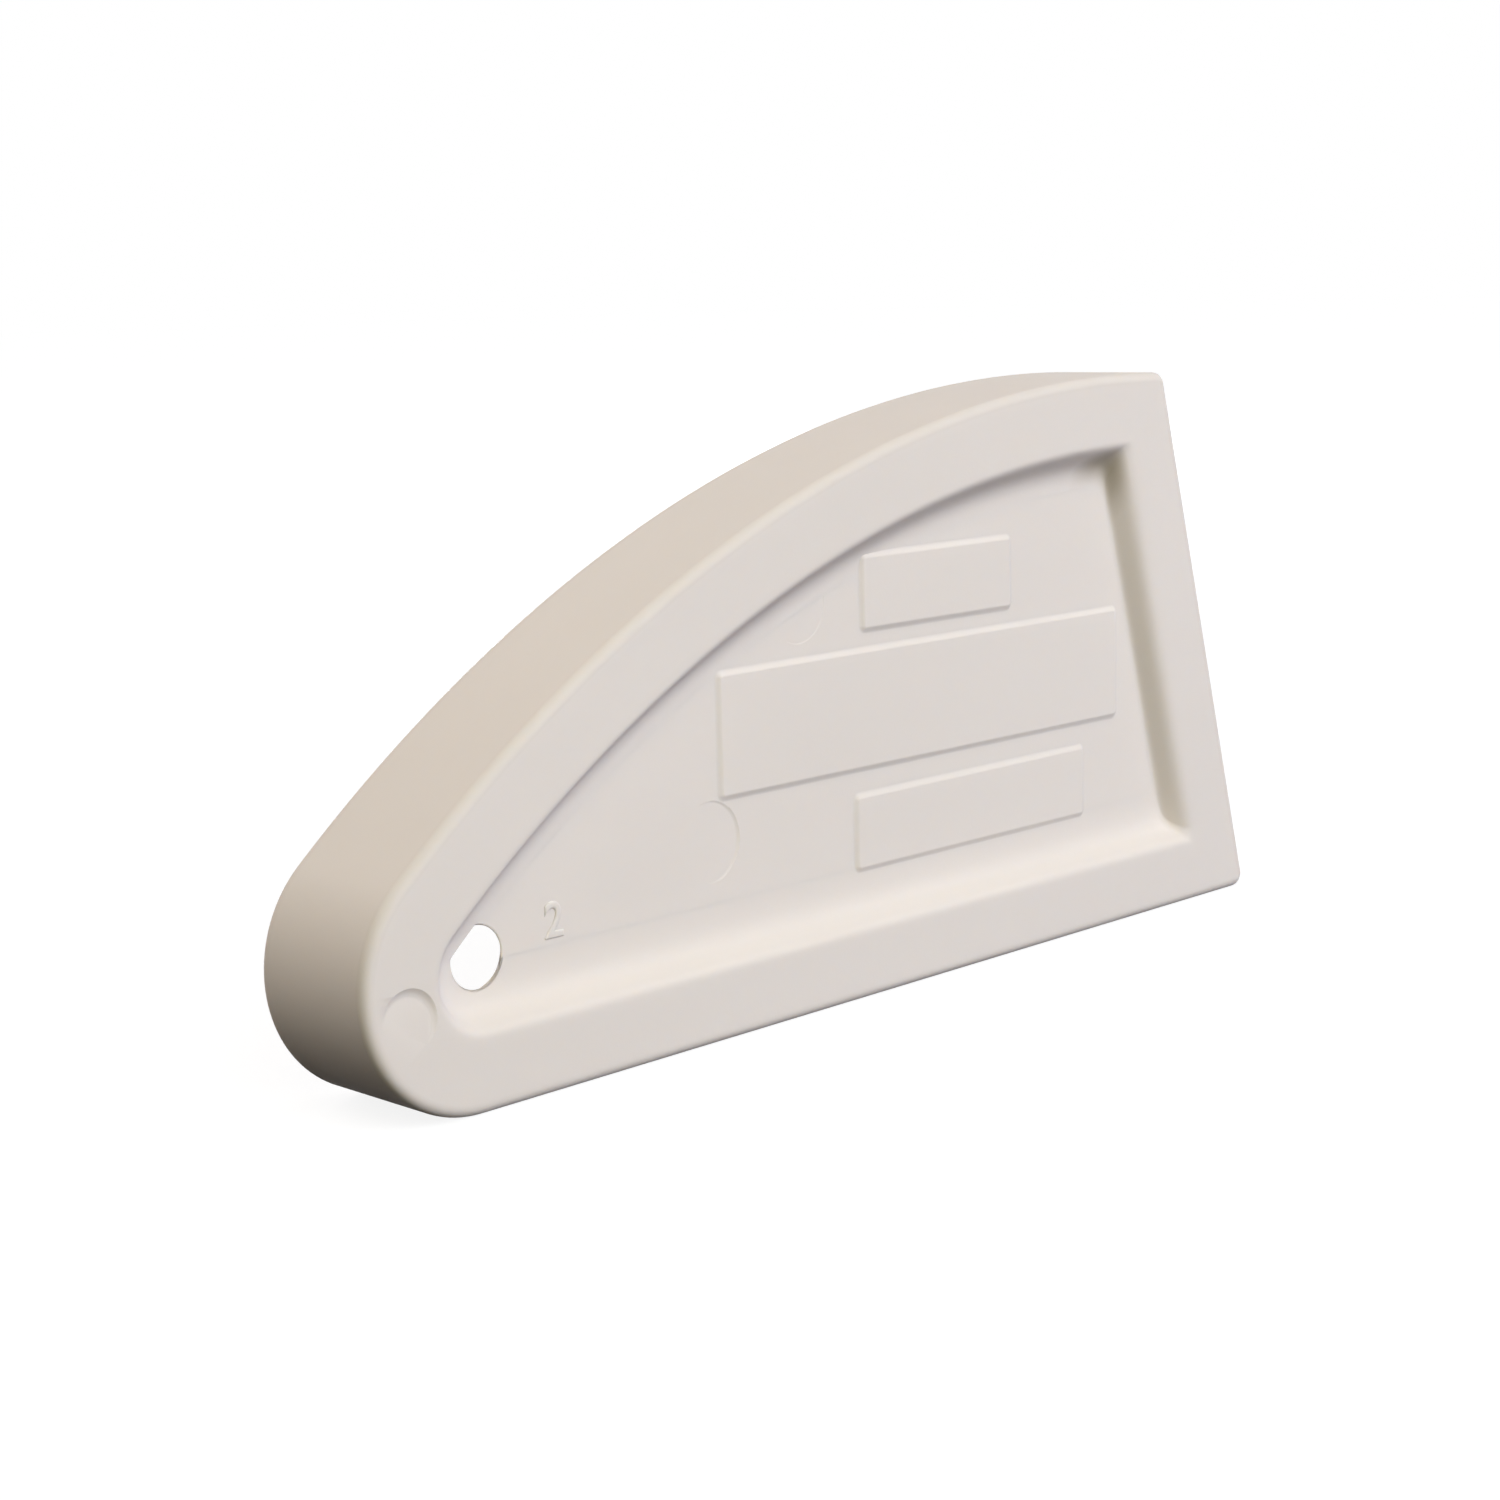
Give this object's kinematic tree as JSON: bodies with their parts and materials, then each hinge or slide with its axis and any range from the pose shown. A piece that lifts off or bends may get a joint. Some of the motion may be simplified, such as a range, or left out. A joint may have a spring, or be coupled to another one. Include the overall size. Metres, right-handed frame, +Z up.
{
  "type": "sealant smoothing tool",
  "caption": "Flat moulded hand tool for smoothing sealant joints: a thick rim with straight, round, curved and slanted sides about a thin sunken web with a hang hole.",
  "frame": {"origin": "middle of the tool's box, on the surface that its straight edge stands on", "axes": "+X along the straight edge from the round nose to the slanted end, +Y through the thickness away from the labelled face, +Z up"},
  "size_m": [0.105, 0.012, 0.0495],
  "materials": {
    "off_white_plastic": "matte moulded"
  },
  "bodies": {
    "root": {"straight_edge": "off_white_plastic", "round_nose": "off_white_plastic", "curved_edge": "off_white_plastic", "slanted_end": "off_white_plastic", "web": "off_white_plastic", "lower_plate": "off_white_plastic", "middle_plate": "off_white_plastic", "upper_plate": "off_white_plastic"}
  },
  "joints": []
}
